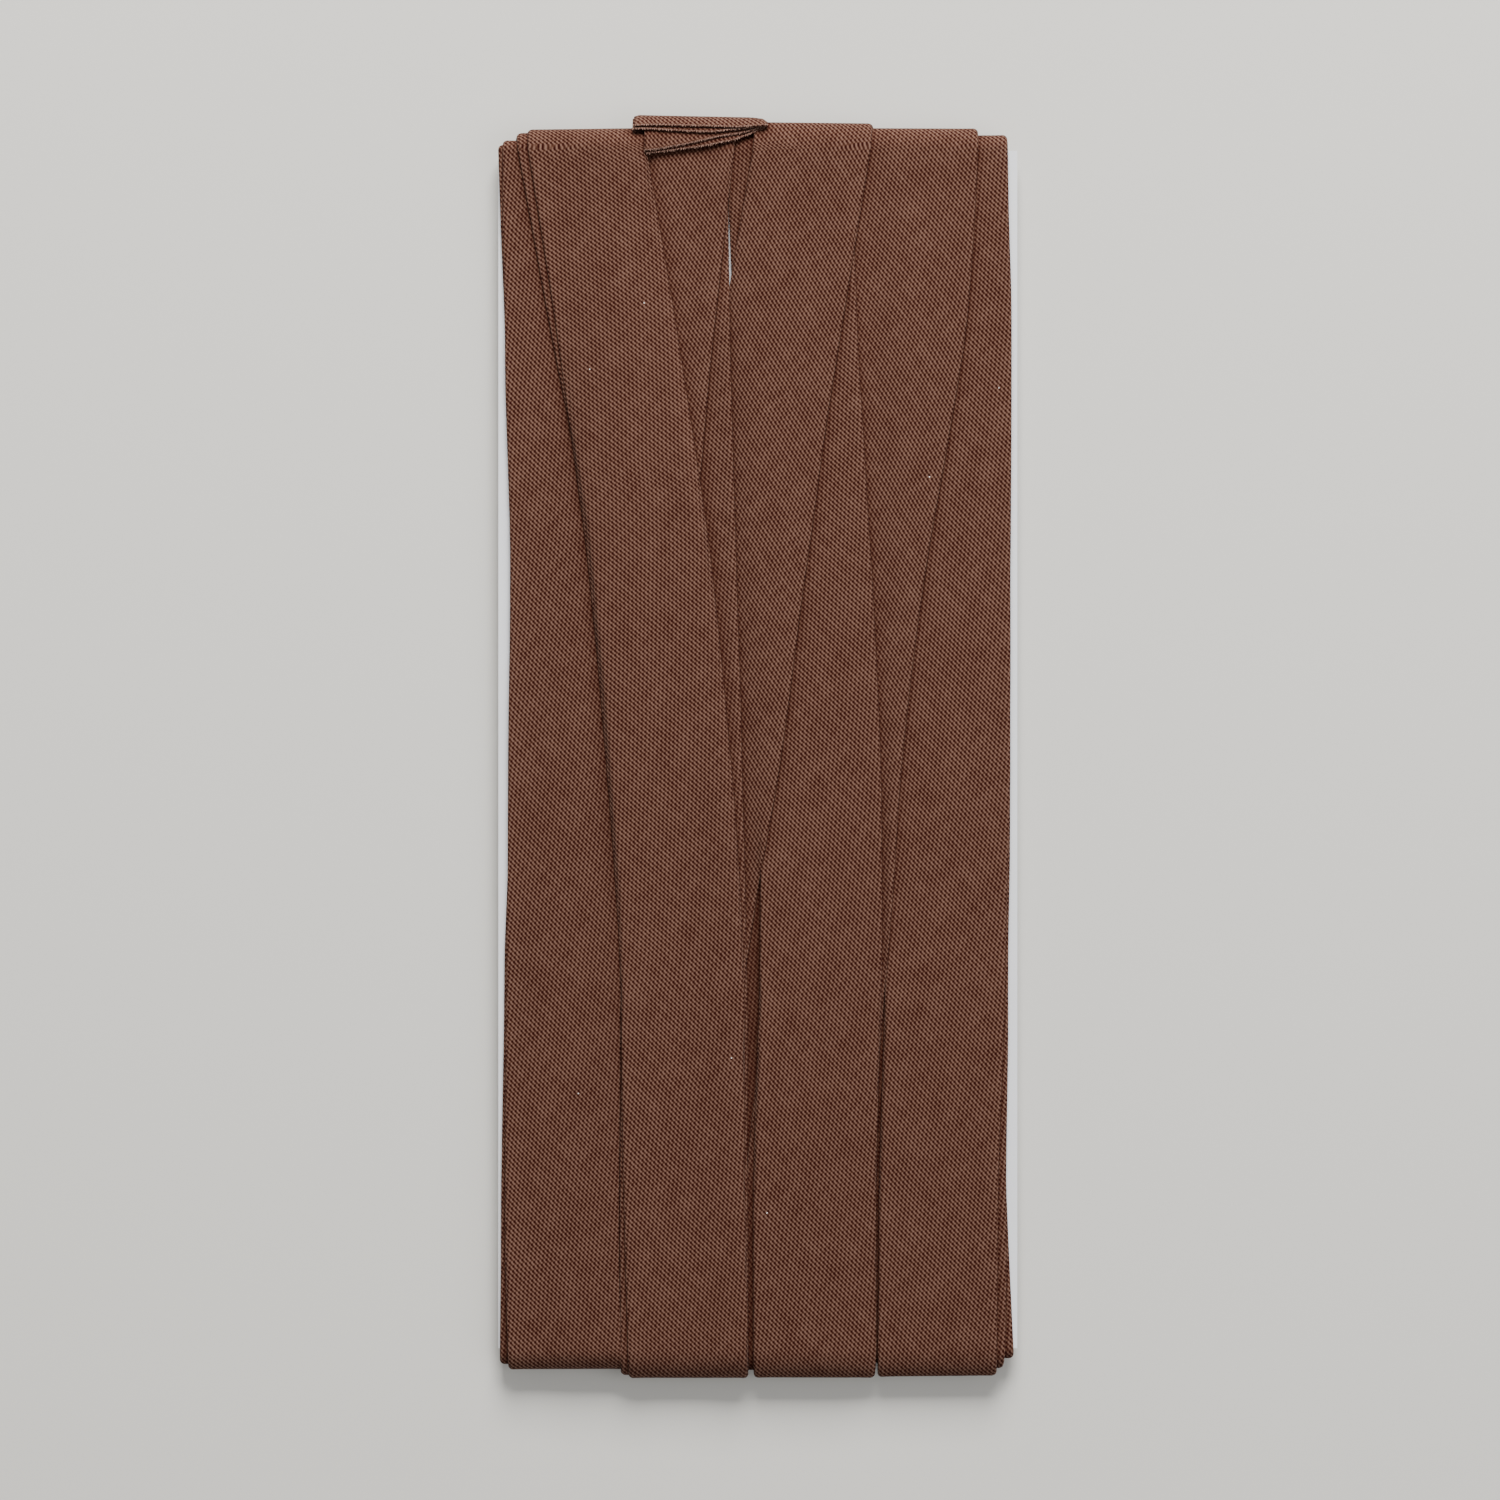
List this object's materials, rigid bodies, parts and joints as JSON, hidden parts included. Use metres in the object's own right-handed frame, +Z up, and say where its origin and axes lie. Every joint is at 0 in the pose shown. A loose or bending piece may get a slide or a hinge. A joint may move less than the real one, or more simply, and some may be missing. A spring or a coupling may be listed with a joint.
{
  "type": "bias binding on a card",
  "caption": "Folded cotton bias binding wound flat, lengthwise, round a white card, with its cut end bent over the top edge.",
  "frame": {"origin": "on the surface that the part lies on, under the middle of the card", "axes": "+X across the card, +Y up the front of the card to the edge with the loose end, +Z up out of the front"},
  "size_m": [0.078, 0.1899, 0.0061],
  "materials": {
    "cotton": "matt plain weave",
    "card": "matt white"
  },
  "bodies": {
    "root": {"wound_binding": "cotton", "loose_end": "cotton", "card": "card"}
  },
  "joints": []
}
